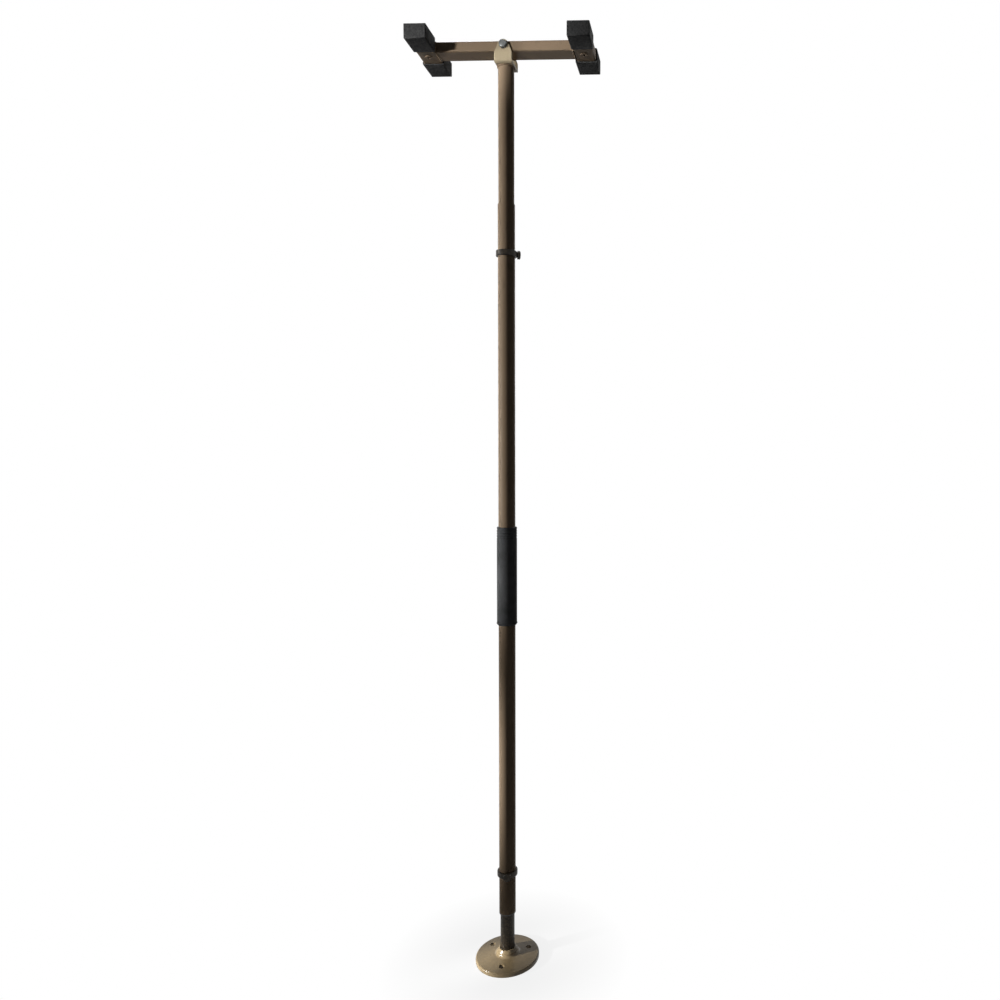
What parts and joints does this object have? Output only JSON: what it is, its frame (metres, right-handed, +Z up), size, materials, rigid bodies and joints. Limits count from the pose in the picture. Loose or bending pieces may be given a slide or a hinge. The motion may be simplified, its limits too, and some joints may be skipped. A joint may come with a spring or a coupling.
{
  "type": "transfer pole",
  "caption": "Floor-to-ceiling grab pole with a round screw-jack foot, a ribbed hand grip, a telescoping top and a tilting ceiling bar on rubber caps.",
  "frame": {"origin": "on the floor at the pole's axis, under the middle of the base", "axes": "+Z up along the pole, +X along the ceiling bar, -Y towards the viewer of the picture"},
  "size_m": [0.4584, 0.202, 2.4384],
  "materials": {
    "bronze_coat": "satin bronze powder coat",
    "cast_bronze": "satin metallic bronze paint on castings",
    "zinc_plate": "zinc plated",
    "dark_steel": "black oxide",
    "rubber": "matte moulded rubber",
    "grip_rubber": "matte foam rubber",
    "nylon": "moulded nylon",
    "brass": "machined"
  },
  "bodies": {
    "base": {"floor_pad": "rubber", "base_plate": "cast_bronze", "jack_stud": "zinc_plate"},
    "foot": {"foot_tube": "dark_steel", "jack_nut": "dark_steel", "thrust_plug": "zinc_plate"},
    "pole": {"lower_tube": "bronze_coat", "middle_tube": "bronze_coat", "splice_spigot": "zinc_plate", "splice_screws": "zinc_plate", "grip": "grip_rubber", "lower_collar": "dark_steel", "upper_collar": "dark_steel", "foot_guide_bush": "nylon", "load_ring": "zinc_plate", "thrust_washer": "brass"},
    "lower_lock_tip": {"lower_lock_pad": "nylon"},
    "lower_lock": {"lower_lock_screw": "dark_steel"},
    "upper_lock_tip": {"upper_lock_pad": "nylon"},
    "upper_lock": {"upper_lock_screw": "dark_steel"},
    "upper": {"upper_tube": "bronze_coat", "upper_tube_guide": "nylon", "top_bracket": "cast_bronze", "pivot_bolt": "zinc_plate", "pivot_nut": "zinc_plate", "pivot_washers": "zinc_plate", "bar_spacers": "nylon"},
    "ceiling_head": {"ceiling_bar": "bronze_coat", "pivot_sleeve": "zinc_plate", "left_cross_tube": "bronze_coat", "right_cross_tube": "bronze_coat", "left_front_cap": "rubber", "left_rear_cap": "rubber", "right_front_cap": "rubber", "right_rear_cap": "rubber", "ceiling_screw_bushes": "bronze_coat"}
  },
  "joints": [
    {"name": "jack_lift", "type": "slide", "parent": "base", "child": "pole", "axis": [0, 0, 1], "range_m": [0, 0.04]},
    {"name": "jack_turn", "type": "hinge", "parent": "pole", "child": "foot", "pos_m": [0, 0, 0.15], "axis": [0, 0, 1], "range_deg": [0, 3601]},
    {"name": "height_slide", "type": "slide", "parent": "pole", "child": "upper", "axis": [0, 0, 1], "range_m": [-0.27, 0.58]},
    {"name": "bar_tilt", "type": "hinge", "parent": "upper", "child": "ceiling_head", "pos_m": [0, 0, 2.4182], "axis": [0, -1, 0], "range_deg": [-38, 38]},
    {"name": "lower_lock_travel", "type": "slide", "parent": "pole", "child": "lower_lock_tip", "axis": [0.2079, -0.9781, 0], "range_m": [0, 0.006]},
    {"name": "lower_lock_turn", "type": "hinge", "parent": "lower_lock_tip", "child": "lower_lock", "pos_m": [0.00624, -0.02934, 0.246], "axis": [0.2079, -0.9781, 0], "range_deg": [0, 1441]},
    {"name": "upper_lock_travel", "type": "slide", "parent": "pole", "child": "upper_lock_tip", "axis": [0.9272, 0.3746, 0], "range_m": [0, 0.006]},
    {"name": "upper_lock_turn", "type": "hinge", "parent": "upper_lock_tip", "child": "upper_lock", "pos_m": [0.02782, 0.01124, 1.909], "axis": [0.9272, 0.3746, 0], "range_deg": [0, 1441]}
  ],
  "couplings": [
    {"joint": "jack_turn", "follows": "jack_lift", "rad_per_m": 1570.8},
    {"joint": "lower_lock_turn", "follows": "lower_lock_travel", "rad_per_m": 4188.8},
    {"joint": "upper_lock_turn", "follows": "upper_lock_travel", "rad_per_m": 4188.8}
  ]
}
